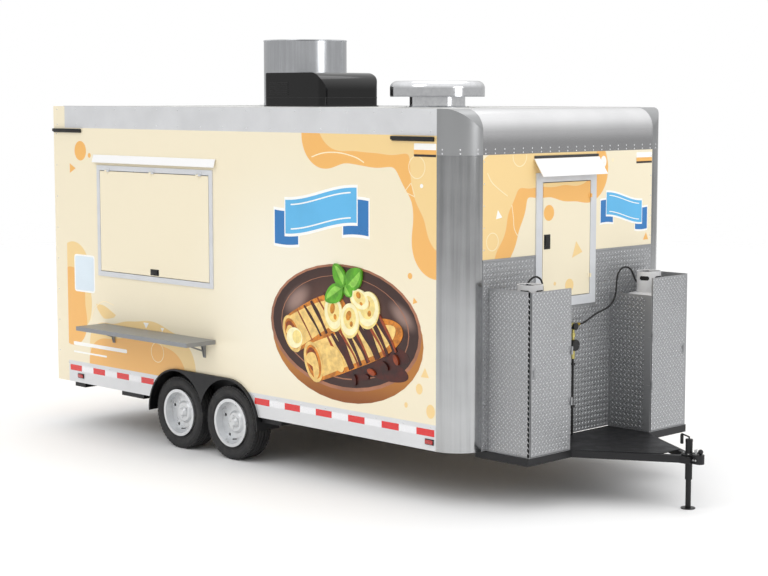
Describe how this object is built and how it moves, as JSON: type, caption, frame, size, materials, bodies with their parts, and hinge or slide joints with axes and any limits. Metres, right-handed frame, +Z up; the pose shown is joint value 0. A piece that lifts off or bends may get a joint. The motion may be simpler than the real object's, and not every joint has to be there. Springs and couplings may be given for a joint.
{
  "type": "food concession trailer",
  "caption": "Tandem-axle food concession trailer with a top-hung serving hatch, fold-down shelf, gas boxes on the tongue, roof units and a jack.",
  "frame": {"origin": "on the ground under the centre of the tongue jack's foot", "axes": "+X forwards to the coupler, +Y to the street side, +Z up"},
  "size_m": [6.5189, 2.935, 3.63],
  "materials": {
    "wrap": "satin printed wrap",
    "rail_grey": "satin",
    "polished": "polished",
    "cap_grey": "satin",
    "frame_black": "semi-gloss",
    "floor_ply": "sealed plywood",
    "tyre": "matt",
    "rim_silver": "satin",
    "trim_silver": "satin",
    "shelf_grey": "brushed",
    "diamond_plate": "embossed tread plate",
    "bottle_white": "gloss",
    "gas_black": "gloss",
    "hose_rubber": "matt",
    "ac_black": "gloss",
    "zinc": "zinc plated",
    "roof_white": "matt"
  },
  "bodies": {
    "trailer": {"chassis_rails": "frame_black", "floor": "floor_ply", "skirt_rails": "rail_grey", "tongue_frame": "frame_black", "coupler": "frame_black", "jack_tube": "frame_black", "axles": "frame_black", "leaf_springs": "frame_black", "fenders": "frame_black", "curb_wall": "wrap", "street_wall": "wrap", "front_wall": "wrap", "rear_wall": "wrap", "roof": "roof_white", "top_rails": "rail_grey", "front_cap": "cap_grey", "front_posts": "polished", "hatch_surrounds": "trim_silver", "shelf_brackets": "trim_silver", "gas_boxes": "diamond_plate", "gas_cylinders": "bottle_white", "gas_pipe": "gas_black", "hose_curb": "hose_rubber", "hose_street": "hose_rubber", "ac_unit": "ac_black", "exhaust_stack": "polished", "roof_vent": "polished"},
    "jack_leg": {"jack_leg": "frame_black"},
    "window_hatch": {"window_hatch": "wrap"},
    "strut_tubes": {"strut_tubes": "frame_black"},
    "strut_rods": {"strut_rods": "zinc"},
    "serving_shelf": {"serving_shelf": "shelf_grey"},
    "shelf_braces": {"shelf_braces": "trim_silver"},
    "front_hatch": {"front_hatch": "wrap"},
    "rear_door": {"rear_door": "wrap"},
    "gas_door_curb": {"gas_door_curb": "diamond_plate"},
    "gas_door_street": {"gas_door_street": "diamond_plate"},
    "wheel_curb_front": {"tyre_curb_front": "tyre", "rim_curb_front": "rim_silver"},
    "wheel_curb_rear": {"tyre_curb_rear": "tyre", "rim_curb_rear": "rim_silver"},
    "wheel_street_front": {"tyre_street_front": "tyre", "rim_street_front": "rim_silver"},
    "wheel_street_rear": {"tyre_street_rear": "tyre", "rim_street_rear": "rim_silver"}
  },
  "joints": [
    {"name": "wheel_curb_front_spin", "type": "hinge", "parent": "trailer", "child": "wheel_curb_front", "pos_m": [-3.834, -1.1875, 0.32], "axis": [0, 1, 0], "continuous": true},
    {"name": "wheel_curb_rear_spin", "type": "hinge", "parent": "trailer", "child": "wheel_curb_rear", "pos_m": [-4.536, -1.1875, 0.32], "axis": [0, 1, 0], "continuous": true},
    {"name": "wheel_street_front_spin", "type": "hinge", "parent": "trailer", "child": "wheel_street_front", "pos_m": [-3.834, 1.1875, 0.32], "axis": [0, 1, 0], "continuous": true},
    {"name": "wheel_street_rear_spin", "type": "hinge", "parent": "trailer", "child": "wheel_street_rear", "pos_m": [-4.536, 1.1875, 0.32], "axis": [0, 1, 0], "continuous": true},
    {"name": "window_hatch_lift", "type": "hinge", "parent": "trailer", "child": "window_hatch", "pos_m": [-4.85, -1.313, 2.427], "axis": [-1, 0, 0], "range_deg": [0, 90]},
    {"name": "strut_tube_swing", "type": "hinge", "parent": "trailer", "child": "strut_tubes", "pos_m": [-4.85, -1.225, 2.347], "axis": [-1, 0, 0], "range_deg": [0, 89.85]},
    {"name": "strut_rod_slide", "type": "slide", "parent": "strut_tubes", "child": "strut_rods", "axis": [0, 0, -1], "range_m": [0, 0.16905]},
    {"name": "serving_shelf_fold", "type": "hinge", "parent": "trailer", "child": "serving_shelf", "pos_m": [-4.805, -1.321, 0.969], "axis": [1, 0, 0], "range_deg": [0, 90]},
    {"name": "shelf_brace_fold", "type": "hinge", "parent": "trailer", "child": "shelf_braces", "pos_m": [-4.805, -1.31, 0.909], "axis": [1, 0, 0], "range_deg": [0, 111.28]},
    {"name": "front_hatch_swing", "type": "hinge", "parent": "trailer", "child": "front_hatch", "pos_m": [-1.142, 0.225, 1.983], "axis": [0, 0, 1], "range_deg": [0, 95]},
    {"name": "rear_door_swing", "type": "hinge", "parent": "trailer", "child": "rear_door", "pos_m": [-6.378, -0.427, 1.585], "axis": [0, 0, 1], "range_deg": [0, 110]},
    {"name": "gas_door_curb_swing", "type": "hinge", "parent": "trailer", "child": "gas_door_curb", "pos_m": [-0.727, -0.51, 0.99], "axis": [0, 0, 1], "range_deg": [0, 100]},
    {"name": "gas_door_street_swing", "type": "hinge", "parent": "trailer", "child": "gas_door_street", "pos_m": [-0.727, 0.51, 0.99], "axis": [0, 0, -1], "range_deg": [0, 100]},
    {"name": "jack_leg_slide", "type": "slide", "parent": "trailer", "child": "jack_leg", "axis": [0, 0, 1], "range_m": [0, 0.2]}
  ],
  "couplings": [
    {"joint": "strut_tube_swing", "follows": "window_hatch_lift", "ratio": 0.99281},
    {"joint": "strut_rod_slide", "follows": "window_hatch_lift", "m_per_rad": 0.10698},
    {"joint": "shelf_brace_fold", "follows": "serving_shelf_fold", "ratio": 1.2309}
  ]
}
